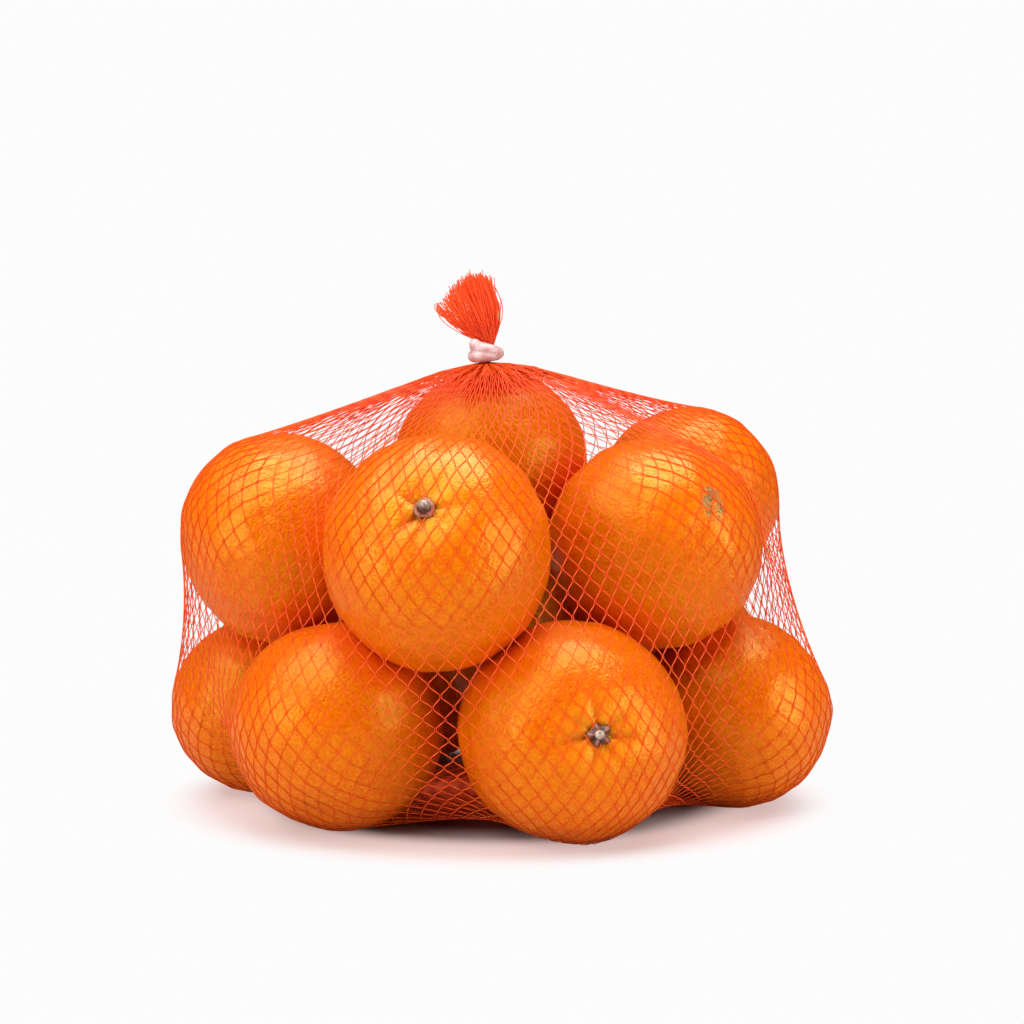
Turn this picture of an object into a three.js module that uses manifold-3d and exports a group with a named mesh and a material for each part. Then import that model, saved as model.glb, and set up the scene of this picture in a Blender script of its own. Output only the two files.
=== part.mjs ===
// Net of mandarins.
// A dozen mandarins lie two layers deep in a diamond net. The net is a tube, drawn together above
// the fruit, wound with a soft tie, and left to stand up above the tie as a short cut tail.
// The bag is one filled solid: the fruit stand round and free on a core that fills the heap's inside,
// under the tent that the taut net makes from the neck to the upper fruit.
// Millimetres, +Z up. The origin is on the floor, under the middle of the pack.

import * as THREE from 'three';
import { mergeVertices } from 'three/addons/utils/BufferGeometryUtils.js';
import Module from 'manifold-3d';

// Each fruit has its centre, its radius at the equator, the way its stem end points, and how tall
// it is pressed. A fruit with no height for its centre lies on the floor.
const FRUIT = [
  { at: [-49, -43.5], radius: 33, stem: [0.1, 0.75, 0.66], tall: 1 },
  { at: [23.5, -54.5], radius: 35, stem: [0.22, -0.95, 0.17], tall: 0.95 },
  { at: [-79, 10], radius: 29.2, stem: [-0.2, 0.9, 0.4], tall: 1 },
  { at: [76.5, -9.5], radius: 31.5, stem: [0.5, 0.8, 0.3], tall: 1 },
  { at: [63, 57], radius: 34, stem: [0.3, 0.9, 0.2], tall: 0.97 },
  { at: [-31, 56], radius: 32.5, stem: [-0.2, 0.85, 0.5], tall: 0.98 },
  { at: [15, 11, 44], radius: 32, stem: [0.2, 0.6, -0.75], tall: 1 },
  { at: [-69, -13, 87], radius: 34, stem: [0.85, 0.45, 0.25], tall: 1 },
  { at: [-17.5, -56, 88], radius: 34.5, stem: [-0.09, -0.86, 0.5], tall: 1.035 },
  { at: [50, -25.5, 87], radius: 33.5, stem: [0.7, 0.7, 0.1], tall: 1 },
  { at: [-2, 4, 106], radius: 31.5, stem: [0, 0, 1], tall: 1 },
  { at: [65.5, 34.5, 96.5], radius: 31, stem: [0.3, 0.8, 0.5], tall: 1 },
];
const FLOOR_FLAT_DEPTH = 0.5;

// The form of a mandarin, as shares of its radius and angles in radians
const STEM_TO_TIP = 0.92;
const FULLNESS = 2.1;
const STEM_DIP = 0.05;
const STEM_DIP_ANGLE = 0.3;
const TIP_DIP = 0.03;
const TIP_DIP_ANGLE = 0.35;
const FURROWS = 10;
const FURROW_DEPTH = 0.014;
const FURROW_ANGLE = 0.5;
const FURROW_START = 0.12;
const UNEVENNESS = 0.012;
const SWELL = { x: 2.1, y: 1.7, perFruit: 3 };
const FRUIT_SIDES = 22;
const FRUIT_RINGS = 13;
const BUTTON_RADIUS = 3.6;
const BUTTON_HEIGHT = 1.5;
const BUTTON_SIDES = 10;
const BUTTON_RINGS = 6;
const NEAR_FRUIT = 1.1;

// The net: knots around and up, the length of a side of one coarse cell, and where it is drawn in
const KNOTS_AROUND = 42;
const KNOTS_UP = 32;
const CELL_SIDE = 12;
const PRESTRETCH = 0.8;
const SLACK_PULL = 0.04;
const SKIN_INSET = 1.5;
const SKIN_CLEAR_OF_FLOOR = 1;
const START_HALF_WIDTH = 128;
const START_HALF_DEPTH = 112;
const START_ROUNDNESS = 0.7;
const SETTLE_STEPS = 900;
const SETTLE_RATE = 0.22;
const SETTLE_KEEP = 0.86;
const SAG_PULL = 0.3;
const SAG_BELOW = 14;
const FOOTPRINT = { halfWidth: 78, halfDepth: 57 };
const NECK = { x: -3.2, y: -7, radius: 1.5, foot: 143.6, top: 150.7 };
const SHOULDER = { radius: 15, drop: 1.2, tilt: 0.09 };
const BASE_GATHER = { x: 5, y: 2, z: 3, radius: 4 };

// The core: below the tent, the net's skin is drawn in to a share of its width, and lifted off the floor
const CORE = { x: 5, y: 0, share: 0.66, top: 88, bottom: 14 };
const TENT_FOOT = 122;

// The tie: a thick soft cord wound round the neck, one turn over the other
const TIE_CORD_RADIUS = 1.45;
const TIE_TURN_RADIUS = 4.2;
const TIE_TURNS = [
  { lift: 2.2, tilt: -0.06, lean: 0.05, shift: -0.85 },
  { lift: 5, tilt: 0.26, lean: -0.08, shift: 0.2 },
];
const TIE_LOBE = { x: -3.6, y: -1.7, z: 6.2, wide: 1.7, high: 1.5 };
const TIE_SECTION_SIDES = 9;
const TIE_AROUND = 26;
const LOBE_SIDES = 12;
const LOBE_RINGS = 8;

// The tail: cut strands that fan up and to the left above the tie, round a full middle
const TAIL_GAP = 0.35;
const TAIL_STRANDS = 30;
const TAIL_ROOT = 1.5;
const TAIL_FOOT_RADIUS = 2.4;
const TAIL_DEPTH = 5.5;
const TAIL_LEFT = { bendX: -8, bendZ: 5.6, tipX: -17.5, tipZ: 10.5 };
const TAIL_RIGHT = { bendX: 4.6, bendZ: 7.5, tipX: 1.2, tipZ: 21 };
const TAIL_CROWN = 3.5;
const TAIL_RAGGED = 1.5;
const TAIL_BEND_SHARE = 0.5;
const TAIL_MIDDLE = {
  bendX: -1, bendZ: 7, tipX: -5.5, tipZ: 14.5, footRadius: 1.9, radius: 6, flatness: 0.7, sides: 14,
};
const STRAND_FOOT_RADIUS = 1.1;
const STRAND_TIP_RADIUS = 0.55;
const STRAND_SIDES = 5;
const STRAND_STEPS = 5;
const SEED = 7;

const GROUND_SIDE = 400;

const peelFinish = new THREE.MeshStandardMaterial({ color: 0xf07d0c, roughness: 0.45, metalness: 0 });
const netFinish = new THREE.MeshStandardMaterial({ color: 0xf4472a, roughness: 0.4, metalness: 0 });
const tieFinish = new THREE.MeshStandardMaterial({ color: 0xf0dcdc, roughness: 0.5, metalness: 0 });

const wasm = await Module();
wasm.setup();
const UP = new THREE.Vector3(0, 0, 1);

function toSolid(geometry) {
  const bare = geometry.clone();
  bare.deleteAttribute('normal');
  bare.deleteAttribute('uv');
  const merged = mergeVertices(bare);
  const mesh = new wasm.Mesh({
    numProp: 3,
    vertProperties: new Float32Array(merged.attributes.position.array),
    triVerts: new Uint32Array(merged.index.array),
  });
  return new wasm.Manifold(mesh);
}

function toGeometry(solid) {
  const { vertProperties, triVerts } = solid.getMesh();
  const geometry = new THREE.BufferGeometry();
  geometry.setAttribute('position', new THREE.BufferAttribute(new Float32Array(vertProperties), 3));
  geometry.setIndex(new THREE.BufferAttribute(new Uint32Array(triVerts), 1));
  geometry.computeVertexNormals();
  return geometry;
}

function join(solids) {
  return solids.reduce((whole, solid) => whole.add(solid));
}

function seededDraw(seed) {
  let state = seed;
  return () => {
    state = (state * 1664525 + 1013904223) % 4294967296;
    return state / 4294967296;
  };
}

// A closed tube through the given points, from one radius at its foot to another at its tip
function taperedTube(points, footRadius, tipRadius, sides) {
  const path = new THREE.CatmullRomCurve3(points);
  const frames = path.computeFrenetFrames(STRAND_STEPS, false);
  const vertices = [];
  for (let step = 0; step <= STRAND_STEPS; step += 1) {
    const share = step / STRAND_STEPS;
    const centre = path.getPointAt(share);
    const radius = THREE.MathUtils.lerp(footRadius, tipRadius, share);
    for (let side = 0; side < sides; side += 1) {
      const turn = (side / sides) * Math.PI * 2;
      const spot = centre.clone();
      spot.addScaledVector(frames.normals[step], radius * Math.cos(turn));
      spot.addScaledVector(frames.binormals[step], radius * Math.sin(turn));
      vertices.push(spot);
    }
  }
  return closedSleeve(vertices, sides, STRAND_STEPS + 1, (ring, side) => ring * sides + side);
}

// Rings of points joined into a closed sleeve with a fan on its first and its last ring
function closedSleeve(vertices, around, rings, at, stagger = false) {
  const faces = [];
  for (let ring = 0; ring + 1 < rings; ring += 1) {
    const shifted = stagger && ring % 2 === 1;
    for (let side = 0; side < around; side += 1) {
      const next = (side + 1) % around;
      const a = at(ring, side);
      const b = at(ring, next);
      const c = at(ring + 1, side);
      const d = at(ring + 1, next);
      if (shifted) {
        faces.push(a, b, d, a, d, c);
      } else {
        faces.push(a, b, c, b, d, c);
      }
    }
  }
  const all = vertices.slice();
  for (const ring of [0, rings - 1]) {
    const middle = new THREE.Vector3();
    for (let side = 0; side < around; side += 1) {
      middle.addScaledVector(vertices[at(ring, side)], 1 / around);
    }
    all.push(middle);
    for (let side = 0; side < around; side += 1) {
      const here = at(ring, side);
      const next = at(ring, (side + 1) % around);
      if (ring === 0) {
        faces.push(next, here, all.length - 1);
      } else {
        faces.push(here, next, all.length - 1);
      }
    }
  }
  const geometry = new THREE.BufferGeometry();
  geometry.setFromPoints(all);
  geometry.setIndex(faces);
  return geometry;
}

// How far the peel stands from the middle of a fruit of radius 1, stem end along +Z.
// Each fruit's number gives it swellings of its own.
function peelReach(way, number) {
  const across = Math.hypot(way.x, way.y);
  const along = Math.abs(way.z) / STEM_TO_TIP;
  const body = (across ** FULLNESS + along ** FULLNESS) ** (-1 / FULLNESS);
  const fromStem = Math.acos(THREE.MathUtils.clamp(way.z, -1, 1));
  const stemDip = STEM_DIP * Math.exp(-((fromStem / STEM_DIP_ANGLE) ** 2));
  const tipDip = TIP_DIP * Math.exp(-(((Math.PI - fromStem) / TIP_DIP_ANGLE) ** 2));
  const ridge = Math.abs(Math.sin((FURROWS / 2) * Math.atan2(way.y, way.x)));
  const furrowFade = Math.exp(-((fromStem / FURROW_ANGLE) ** 2)) * Math.min(1, across / FURROW_START);
  const furrow = FURROW_DEPTH * furrowFade * (1 - ridge);
  const swellAcross = Math.sin(SWELL.x * way.x + SWELL.perFruit * number);
  const swellAlong = Math.cos(SWELL.y * way.y + way.z - number);
  return body - stemDip - tipDip - furrow + UNEVENNESS * swellAcross * swellAlong;
}

// A fruit knows its place, and can say where its peel is in a given direction
function growFruit(row, number) {
  const stem = new THREE.Vector3(...row.stem).normalize();
  const turn = new THREE.Quaternion().setFromUnitVectors(UP, stem);
  const back = turn.clone().invert();
  const fruit = { stem, tall: row.tall, radius: row.radius, centre: new THREE.Vector3() };
  fruit.peelAt = (way) => {
    const local = way.clone().applyQuaternion(back);
    const spot = way.clone().multiplyScalar(row.radius * peelReach(local, number));
    spot.z *= row.tall;
    return spot.add(fruit.centre);
  };
  fruit.geometry = () => {
    const geometry = new THREE.SphereGeometry(1, FRUIT_SIDES, FRUIT_RINGS).rotateX(Math.PI / 2);
    const position = geometry.attributes.position;
    const way = new THREE.Vector3();
    for (let i = 0; i < position.count; i += 1) {
      way.fromBufferAttribute(position, i).normalize().applyQuaternion(turn);
      position.setXYZ(i, ...fruit.peelAt(way));
    }
    return geometry;
  };
  let height = row.at[2];
  if (height === undefined) {
    const loose = fruit.geometry();
    loose.computeBoundingBox();
    height = -loose.boundingBox.min.z - FLOOR_FLAT_DEPTH;
  }
  fruit.centre.set(row.at[0], row.at[1], height);
  return fruit;
}

// The dry button left on the stem end
function stemButton(fruit) {
  const geometry = new THREE.SphereGeometry(1, BUTTON_SIDES, BUTTON_RINGS).rotateX(Math.PI / 2);
  geometry.scale(BUTTON_RADIUS, BUTTON_RADIUS, BUTTON_HEIGHT);
  geometry.applyQuaternion(new THREE.Quaternion().setFromUnitVectors(UP, fruit.stem));
  const seat = fruit.peelAt(fruit.stem);
  return geometry.translate(seat.x, seat.y, seat.z);
}

// Moves a knot that has sunk into a fruit out to just under its peel
function clearOfFruit(knot, fruits) {
  const way = new THREE.Vector3();
  for (const fruit of fruits) {
    way.subVectors(knot, fruit.centre);
    way.z /= fruit.tall;
    const reach = way.length();
    if (reach < fruit.radius * NEAR_FRUIT) {
      const peel = fruit.peelAt(way.normalize());
      const peelReachHere = Math.hypot(
        peel.x - fruit.centre.x, peel.y - fruit.centre.y, (peel.z - fruit.centre.z) / fruit.tall);
      if (reach < peelReachHere - SKIN_INSET) {
        knot.lerpVectors(fruit.centre, peel, 1 - SKIN_INSET / peelReachHere);
      }
    }
  }
  knot.z = Math.max(knot.z, SKIN_CLEAR_OF_FLOOR);
}

// The net under the pack lies slack on the floor between the fruit
function liesUnderneath(knot) {
  const across = Math.hypot(knot.x / FOOTPRINT.halfWidth, knot.y / FOOTPRINT.halfDepth);
  return knot.z < SAG_BELOW && across < 1;
}

// Below the tent the skin sinks in between the fruit, which show through the net
function sinkBetweenFruit(knot) {
  const inTent = THREE.MathUtils.smoothstep(knot.z, CORE.top, TENT_FOOT);
  const share = THREE.MathUtils.lerp(CORE.share, 1, inTent);
  knot.x = CORE.x + (knot.x - CORE.x) * share;
  knot.y = CORE.y + (knot.y - CORE.y) * share;
  knot.z += CORE.bottom * Math.max(0, 1 - knot.z / CORE.top);
}

// The net starts as a wide bag round the fruit and is pulled tight by the tension of its cells.
// Its first ring is the gather underneath, and its last two are the neck inside the tie.
function drawNet(fruits) {
  const at = (row, column) => row * KNOTS_AROUND + ((column + KNOTS_AROUND) % KNOTS_AROUND);
  const neckRow = KNOTS_UP - 2;
  const shoulderRow = neckRow - 1;
  const knots = [];
  for (let row = 0; row < KNOTS_UP; row += 1) {
    const share = Math.min(row / neckRow, 1);
    const spread = Math.sin(Math.PI * share) ** START_ROUNDNESS;
    for (let column = 0; column < KNOTS_AROUND; column += 1) {
      const turn = ((column + 0.5 * (row % 2)) / KNOTS_AROUND) * Math.PI * 2;
      const knot = new THREE.Vector3(Math.cos(turn), Math.sin(turn), 0);
      if (row >= neckRow) {
        knot.multiplyScalar(NECK.radius);
        knot.add(new THREE.Vector3(NECK.x, NECK.y, row === neckRow ? NECK.foot : NECK.top));
      } else if (row === shoulderRow) {
        knot.multiplyScalar(SHOULDER.radius);
        const lift = SHOULDER.tilt * knot.x - SHOULDER.drop;
        knot.add(new THREE.Vector3(NECK.x, NECK.y, NECK.foot + lift));
      } else if (row === 0) {
        knot.multiplyScalar(BASE_GATHER.radius);
        knot.add(new THREE.Vector3(BASE_GATHER.x, BASE_GATHER.y, BASE_GATHER.z));
      } else {
        knot.x *= START_HALF_WIDTH * spread;
        knot.y *= START_HALF_DEPTH * spread;
        knot.z = NECK.foot * 0.5 * (1 - Math.cos(Math.PI * share));
      }
      knots.push(knot);
    }
  }
  const linked = (row, column) => {
    const side = row % 2 === 0 ? -1 : 1;
    const below = [at(row - 1, column), at(row - 1, column + side)];
    const above = [at(row + 1, column), at(row + 1, column + side)];
    return [...below, ...above];
  };
  const rest = CELL_SIDE * PRESTRETCH;
  const drift = knots.map(() => new THREE.Vector3());
  const link = new THREE.Vector3();
  for (let step = 0; step < SETTLE_STEPS; step += 1) {
    for (let row = 1; row < shoulderRow; row += 1) {
      for (let column = 0; column < KNOTS_AROUND; column += 1) {
        const here = at(row, column);
        drift[here].multiplyScalar(SETTLE_KEEP);
        for (const other of linked(row, column)) {
          link.subVectors(knots[other], knots[here]);
          const pull = Math.max(SLACK_PULL, 1 - rest / link.length());
          drift[here].addScaledVector(link, SETTLE_RATE * pull);
        }
        if (liesUnderneath(knots[here])) {
          drift[here].z -= SAG_PULL;
        }
      }
    }
    for (let i = KNOTS_AROUND; i < shoulderRow * KNOTS_AROUND; i += 1) {
      const before = knots[i].clone();
      knots[i].add(drift[i]);
      clearOfFruit(knots[i], fruits);
      drift[i].subVectors(knots[i], before);
    }
  }
  knots.forEach(sinkBetweenFruit);
  return closedSleeve(knots, KNOTS_AROUND, KNOTS_UP, at, true);
}

// All that lies below a given height
function groundUpTo(height) {
  return toSolid(new THREE.BoxGeometry(GROUND_SIDE, GROUND_SIDE, GROUND_SIDE)
    .translate(0, 0, height - GROUND_SIDE / 2));
}

function netPack(fruits) {
  const solids = [toSolid(drawNet(fruits))];
  for (const fruit of fruits) {
    solids.push(toSolid(fruit.geometry()), toSolid(stemButton(fruit)));
  }
  return toGeometry(join(solids).subtract(groundUpTo(0)));
}

function neckTie() {
  const solids = TIE_TURNS.map((turn) => {
    const ring = new THREE.TorusGeometry(TIE_TURN_RADIUS, TIE_CORD_RADIUS, TIE_SECTION_SIDES, TIE_AROUND);
    ring.rotateX(turn.lean).rotateY(turn.tilt);
    return toSolid(ring.translate(NECK.x + turn.shift, NECK.y, NECK.foot + turn.lift));
  });
  const lobe = new THREE.SphereGeometry(1, LOBE_SIDES, LOBE_RINGS);
  lobe.scale(TIE_LOBE.wide, TIE_LOBE.wide, TIE_LOBE.high);
  lobe.translate(NECK.x + TIE_LOBE.x, NECK.y + TIE_LOBE.y, NECK.foot + TIE_LOBE.z);
  return toGeometry(join([...solids, toSolid(lobe)]));
}

// The full middle of the tail: a bundle that opens upwards and is flatter from front to back
function tailMiddle() {
  const path = [
    new THREE.Vector3(0, 0, -TAIL_ROOT),
    new THREE.Vector3(TAIL_MIDDLE.bendX, 0, TAIL_MIDDLE.bendZ),
    new THREE.Vector3(TAIL_MIDDLE.tipX, 0, TAIL_MIDDLE.tipZ),
  ];
  const bundle = taperedTube(path, TAIL_MIDDLE.footRadius, TAIL_MIDDLE.radius, TAIL_MIDDLE.sides);
  return bundle.scale(1, TAIL_MIDDLE.flatness, 1);
}

function netTail() {
  const draw = seededDraw(SEED);
  const foot = NECK.top + TAIL_GAP;
  const mix = THREE.MathUtils.lerp;
  const solids = [toSolid(tailMiddle().translate(NECK.x, NECK.y, foot))];
  for (let i = 0; i < TAIL_STRANDS; i += 1) {
    const share = i / (TAIL_STRANDS - 1);
    const turn = draw() * Math.PI * 2;
    const inset = Math.sqrt(draw()) * (TAIL_FOOT_RADIUS - STRAND_FOOT_RADIUS);
    const aside = (draw() - 0.5) * 2 * TAIL_DEPTH;
    const crown = TAIL_CROWN * Math.sin(Math.PI * share) - TAIL_RAGGED * draw();
    const start = new THREE.Vector3(inset * Math.cos(turn), inset * Math.sin(turn), -TAIL_ROOT);
    const bend = new THREE.Vector3(0, aside * TAIL_BEND_SHARE, 0);
    bend.x = mix(TAIL_LEFT.bendX, TAIL_RIGHT.bendX, share);
    bend.z = mix(TAIL_LEFT.bendZ, TAIL_RIGHT.bendZ, share);
    const tip = new THREE.Vector3(0, aside, crown);
    tip.x = mix(TAIL_LEFT.tipX, TAIL_RIGHT.tipX, share);
    tip.z += mix(TAIL_LEFT.tipZ, TAIL_RIGHT.tipZ, share);
    const strand = taperedTube([start, bend, tip], STRAND_FOOT_RADIUS, STRAND_TIP_RADIUS, STRAND_SIDES);
    solids.push(toSolid(strand.translate(NECK.x, NECK.y, foot)));
  }
  return toGeometry(join(solids).subtract(groundUpTo(foot)));
}

function named(name, geometry, finish) {
  const mesh = new THREE.Mesh(geometry, finish);
  mesh.name = name;
  return mesh;
}

const fruits = FRUIT.map(growFruit);
const pack = new THREE.Group();
pack.add(named('net_pack', netPack(fruits), peelFinish));
pack.add(named('neck_tie', neckTie(), tieFinish));
pack.add(named('net_tail', netTail(), netFinish));

export default pack;
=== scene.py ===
"""A net bag of mandarins, drawn together above the fruit and wound with a soft pale tie.

All sizes are in millimetres, and MM turns them into metres.
"""
import math

import bmesh
import bpy
import numpy as np
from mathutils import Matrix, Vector


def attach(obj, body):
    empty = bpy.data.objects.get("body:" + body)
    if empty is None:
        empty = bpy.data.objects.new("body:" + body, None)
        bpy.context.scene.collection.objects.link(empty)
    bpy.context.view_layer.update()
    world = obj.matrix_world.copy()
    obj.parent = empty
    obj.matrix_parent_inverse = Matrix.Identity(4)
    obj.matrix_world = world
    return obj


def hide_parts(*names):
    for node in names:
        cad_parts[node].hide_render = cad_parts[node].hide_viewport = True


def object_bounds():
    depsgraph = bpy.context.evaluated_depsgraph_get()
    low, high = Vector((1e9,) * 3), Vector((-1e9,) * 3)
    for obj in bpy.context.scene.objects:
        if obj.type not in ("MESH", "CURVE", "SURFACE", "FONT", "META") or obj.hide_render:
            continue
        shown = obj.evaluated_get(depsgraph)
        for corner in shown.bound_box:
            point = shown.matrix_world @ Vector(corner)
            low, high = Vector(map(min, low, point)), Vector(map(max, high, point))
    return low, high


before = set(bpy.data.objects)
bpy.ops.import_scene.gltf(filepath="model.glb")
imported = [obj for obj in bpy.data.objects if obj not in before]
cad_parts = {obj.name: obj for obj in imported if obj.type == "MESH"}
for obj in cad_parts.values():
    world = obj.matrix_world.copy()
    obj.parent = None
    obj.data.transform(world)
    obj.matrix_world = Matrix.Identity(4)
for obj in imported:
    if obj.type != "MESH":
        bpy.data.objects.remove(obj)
cad_low, cad_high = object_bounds()


# Mandarins: twelve loose-skinned fruit, no two alike, that lie on each other in two layers. The peel is thin
# and waxy, with oil pores all over it. It sinks in at both ends, with short furrows round the stem,
# and is pressed flat where a fruit lies on the floor or on its neighbour.
MM = 0.001
WAVE_STARTS = (0, 6)
# stem is the way that the stem end faces, and a fruit with no height in its place lies on the floor.
MANDARINS = [
    dict(name="low_front_left", at=(-49, -43.5), radius=33, stem=(0.1, 0.75, 0.66), tall=1),
    dict(name="low_front_right", at=(23.5, -54.5), radius=35, stem=(0.22, -0.95, 0.17), tall=0.95),
    dict(name="low_left", at=(-79, 10), radius=29.2, stem=(-0.2, 0.9, 0.4), tall=1),
    dict(name="low_right", at=(76.5, -9.5), radius=31.5, stem=(0.5, 0.8, 0.3), tall=1),
    dict(name="low_back_right", at=(63, 57), radius=34, stem=(0.3, 0.9, 0.2), tall=0.97),
    dict(name="low_back_left", at=(-31, 56), radius=32.5, stem=(-0.2, 0.85, 0.5), tall=0.98),
    dict(name="middle", at=(16, 10, 48), radius=33.5, stem=(0.2, 0.6, -0.75), tall=1.05),
    dict(name="high_left", at=(-69, -13, 87), radius=34, stem=(0.85, 0.45, 0.25), tall=1),
    dict(name="high_front", at=(-17.5, -56, 88), radius=34.5, stem=(-0.09, -0.86, 0.5), tall=1.035),
    dict(name="high_right", at=(50, -25.5, 87), radius=33.5, stem=(0.25, 0.93, 0.25), tall=1),
    dict(name="high_middle", at=(-2, 4, 109.2), radius=32, stem=(0.1, 0.95, 0.3), tall=1),
    dict(name="high_back_right", at=(65.5, 34.5, 96.5), radius=31, stem=(0.3, 0.8, 0.5), tall=1),
]
PEEL_FINENESS = 6
STEM_TO_TIP = 0.92
FULLNESS = 2.1
STEM_HOLLOW = dict(depth=0.05, width=0.3)
TIP_HOLLOW = dict(depth=0.03, width=0.35)
FURROWS = dict(count=7, depth=0.075, width=0.26, start=0.12, reach=0.38, uneven=0.3, shallowest=0.4)
SWELL = dict(depth=0.012, across=2.1, along=1.7, apart=3)
LUMP_WAVES = 12
LUMP_FINENESS = (9, 26)
LUMP_DEPTH = (0.008, 0.002)
FLOOR_FLAT_DEPTH = 0.5
FRUIT_ABOVE_FLOOR = 0.6
NEAR_PEEL = 1.15
PRESSED_GAP = 0.05
PRESSED_SHARE = 0.5
SCARRED = "high_right"
SCAR_WAY = np.array((0.47, -0.74, 0.45))
SCAR_HALF_WIDTH = 4.9
SCAR_HALF_HEIGHT = 8
SCAR_EDGE = (0.0, 0.4)
SCAR_HOLES = dict(scale=420, detail=6.0, roughness=0.8, edge=(0.41, 0.54))
BETWEEN_REACH = 12
BETWEEN_ROUGHNESS = 0.7
PEEL_ROUGHNESS = (0.28, 0.38)
PEEL_GLOSS = 0.6
PEEL_MOTTLE = dict(coarse=42, fine=380)
PEEL_FRECKLES = dict(coarse=130, fine=1150)
PORES = dict(scale=900, edge=(0.62, 0.12), strength=0.28, depth=0.3)
STEM_PALE_EDGE = (0.55, 0.1)
STEM_DARK_EDGE = (0.16, 0.1)
FURROW_SHADE_EDGE = (0.1, 0.7)
PEEL_ORANGE = (0.475, 0.045, 0.0002, 1)
PEEL_YELLOW = (0.51, 0.100, 0.0003, 1)
PEEL_SPECK = (0.54, 0.150, 0.0004, 1)
PEEL_RED = (0.46, 0.035, 0.0002, 1)
PEEL_PORE = (0.44, 0.040, 0.0002, 1)
PEEL_PAINTED_SHADE_BETWEEN = (0.75, 0.044, 0.0002, 1)
PEEL_FURROW_SHADE = (0.34, 0.034, 0.0003, 1)
PEEL_STEM_PALE = (0.56, 0.19, 0.006, 1)
PEEL_STEM_DARK = (0.10, 0.016, 0.002, 1)
PEEL_SHEEN = (0.95, 0.85, 0.11, 1)
SCAR_BROWN = (0.07, 0.034, 0.010, 1)
SCAR_GREY = (0.22, 0.15, 0.07, 1)
PATCHY_DETAIL = dict(Coarse=3.0, Fine=2.0)
PATCHY_ROUGHNESS = 0.55
PATCHY_EDGE = (0.3, 0.7)


def turn_up_to(stem):
    """The turn that takes straight up to the stem's direction, as a matrix."""
    way = np.array(stem, float)
    way /= np.linalg.norm(way)
    x, y, z = way
    skew = np.array(((0, 0, x), (0, 0, y), (-x, -y, 0)))
    return np.eye(3) + skew + skew @ skew / (1 + z)


def furrow_depth(ways, fruit):
    """How deep the furrows round the stem lie along each way, as a share of the fruit's radius."""
    across = np.hypot(ways[:, 0], ways[:, 1])
    from_stem = np.arccos(np.clip(ways[:, 2], -1, 1))
    turn = np.arctan2(ways[:, 1], ways[:, 0])
    crease = sum(
        depth * np.exp(-np.abs(np.angle(np.exp(1j * (turn - angle)))) / FURROWS["width"])
        for angle, depth in fruit["furrows"]
    )
    return crease * np.exp(-(from_stem / FURROWS["reach"]) ** 2) * np.minimum(1, across / FURROWS["start"])


def peel_reach(ways, fruit):
    """How far the peel lies from the fruit's middle along each way, as a share of its radius."""
    across = np.hypot(ways[:, 0], ways[:, 1])
    along = np.abs(ways[:, 2]) / STEM_TO_TIP
    body = (across ** FULLNESS + along ** FULLNESS) ** (-1 / FULLNESS)
    from_stem = np.arccos(np.clip(ways[:, 2], -1, 1))
    stem_hollow = STEM_HOLLOW["depth"] * np.exp(-(from_stem / STEM_HOLLOW["width"]) ** 2)
    tip_hollow = TIP_HOLLOW["depth"] * np.exp(-((math.pi - from_stem) / TIP_HOLLOW["width"]) ** 2)
    number = fruit["number"]
    swell = np.sin(SWELL["across"] * ways[:, 0] + SWELL["apart"] * number)
    swell *= np.cos(SWELL["along"] * ways[:, 1] + ways[:, 2] - number)
    lumps = sum(
        depth * np.sin(ways @ turns + starts).sum(axis=1) / LUMP_WAVES ** 0.5
        for depth, turns, starts in fruit["lumps"]
    )
    return body - stem_hollow - tip_hollow - furrow_depth(ways, fruit) + SWELL["depth"] * swell + lumps


def peel_points(ways, fruit):
    """Points on the peel of a fruit whose middle is at the origin, before it is pressed."""
    reach = fruit["radius"] * peel_reach(ways, fruit)
    points = (ways * reach[:, None]) @ fruit["turn"].T
    points[:, 2] *= fruit["tall"]
    return points


def near_peel(points, fruit, gap):
    """Which points may be closer than gap to a peel, their ways from the fruit's middle, and how far off."""
    from_middle = points - fruit["middle"]
    from_middle[:, 2] /= fruit["tall"]
    far = np.linalg.norm(from_middle, axis=1)
    near = np.flatnonzero(far < fruit["radius"] * NEAR_PEEL + gap)
    ways = from_middle[near] / far[near, None]
    return near, ways, far[near] - fruit["radius"] * peel_reach(ways @ fruit["turn"], fruit)


def lift_off_peel(points, fruit, gap, share=1):
    """Moves the points that are closer than gap to a fruit's peel, or in it, straight out of it."""
    near, ways, off = near_peel(points, fruit, gap)
    step = ways * (share * np.maximum(gap - off, 0))[:, None]
    step[:, 2] *= fruit["tall"]
    points[near] += step


def closeness(points, fruits, reach):
    """1 for points on the peel of one of the fruits, down to 0 for those that are reach off it."""
    share = np.zeros(len(points))
    for fruit in fruits:
        near, _, off = near_peel(points, fruit, reach)
        share[near] = np.maximum(share[near], np.clip(1 - off / reach, 0, 1))
    return share


def add_object(name, data):
    """An object in the scene that shows a mesh, a light or a camera."""
    thing = bpy.data.objects.new(name, data)
    bpy.context.scene.collection.objects.link(thing)
    return thing


def apply_modifiers(piece):
    """Gives a piece the mesh that its modifiers make."""
    depsgraph = bpy.context.evaluated_depsgraph_get()
    made = bpy.data.meshes.new_from_object(piece.evaluated_get(depsgraph))
    piece.modifiers.clear()
    piece.data = made


def add_piece(name, points, faces, finish):
    """A smooth mesh object from points in millimetres."""
    mesh = bpy.data.meshes.new(name)
    mesh.from_pydata(points * MM, [], faces)
    mesh.shade_smooth()
    mesh.materials.append(finish)
    return add_object(name, mesh)


def mark_points(mesh, name, values):
    """Stores one number for each point of a mesh, for its material to read."""
    mark = mesh.attributes.new(name, "FLOAT", "POINT")
    mark.data.foreach_set("value", np.asarray(values, np.float32))


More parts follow.
